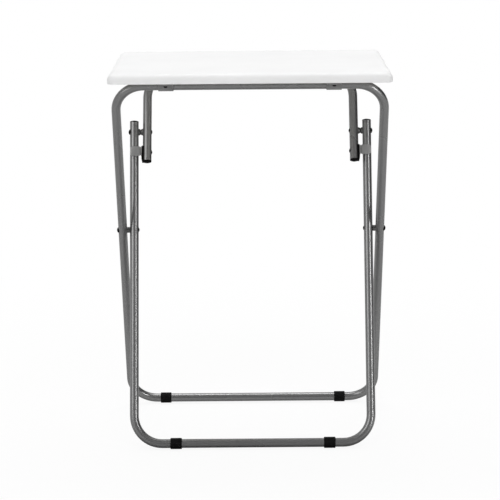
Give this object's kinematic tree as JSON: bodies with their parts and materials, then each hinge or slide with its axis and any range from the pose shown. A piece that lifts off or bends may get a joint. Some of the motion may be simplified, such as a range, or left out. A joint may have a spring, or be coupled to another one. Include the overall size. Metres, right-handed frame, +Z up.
{
  "type": "folding snack table",
  "caption": "Folding snack table with a white rectangular board on crossed legs of grey round tube, and a small tube brace under the back edge, so that it folds flat.",
  "frame": {"origin": "on the floor, under the middle of the board", "axes": "+X to the right as seen by someone at the table's front, +Y to the back, +Z up"},
  "size_m": [0.486, 0.38, 0.678],
  "materials": {
    "white_board": "smooth white laminate, satin",
    "silver_paint": "silver-grey powder coat, satin",
    "saddle_plastic": "grey moulded plastic",
    "black_plastic": "black moulded plastic",
    "foot_rubber": "black, slightly matt",
    "black_steel": "black, satin",
    "collar_steel": "grey, turned"
  },
  "bodies": {
    "outer_frame": {"outer_leg_frame": "silver_paint", "rear_foot_sleeve_left": "foot_rubber", "rear_foot_sleeve_right": "foot_rubber", "leg_pivot_rivet_left": "black_steel", "leg_pivot_rivet_right": "black_steel", "leg_pivot_spacer_left": "collar_steel", "leg_pivot_spacer_right": "collar_steel"},
    "tabletop": {"tabletop_board": "white_board", "front_saddle_left": "saddle_plastic", "front_saddle_right": "saddle_plastic", "rear_saddle_left": "saddle_plastic", "rear_saddle_right": "saddle_plastic", "front_saddle_screws_left": "black_steel", "front_saddle_screws_right": "black_steel", "rear_saddle_screws_left": "black_steel", "rear_saddle_screws_right": "black_steel"},
    "inner_frame": {"inner_leg_frame": "silver_paint", "front_foot_sleeve_left": "foot_rubber", "front_foot_sleeve_right": "foot_rubber", "inner_leg_cap_left": "black_plastic", "inner_leg_cap_right": "black_plastic", "brace_pivot_outer_rivet_left": "black_steel", "brace_pivot_outer_rivet_right": "black_steel", "brace_pivot_outer_collar_left": "collar_steel", "brace_pivot_outer_collar_right": "collar_steel"},
    "brace": {"brace_frame": "silver_paint", "brace_end_cap_left": "black_plastic", "brace_end_cap_right": "black_plastic", "stop_bracket_left": "silver_paint", "stop_bracket_right": "silver_paint", "stop_rivet_left": "black_steel", "stop_rivet_right": "black_steel", "brace_pivot_inner_rivet_left": "black_steel", "brace_pivot_inner_rivet_right": "black_steel", "brace_pivot_inner_collar_left": "collar_steel", "brace_pivot_inner_collar_right": "collar_steel"}
  },
  "joints": [
    {"name": "top_fold", "type": "hinge", "parent": "outer_frame", "child": "tabletop", "pos_m": [0, -0.136, 0.65255], "axis": [-1, 0, 0], "range_deg": [0, 60.93]},
    {"name": "leg_fold", "type": "hinge", "parent": "outer_frame", "child": "inner_frame", "pos_m": [0, 0, 0.37455], "axis": [1, 0, 0], "range_deg": [0, 45.27]},
    {"name": "brace_fold", "type": "hinge", "parent": "tabletop", "child": "brace", "pos_m": [0, 0.116, 0.65255], "axis": [-1, 0, 0], "range_deg": [0, 59.11]}
  ],
  "couplings": [
    {"joint": "leg_fold", "follows": "top_fold", "ratio": 0.74298},
    {"joint": "brace_fold", "follows": "top_fold", "ratio": 0.97012}
  ]
}
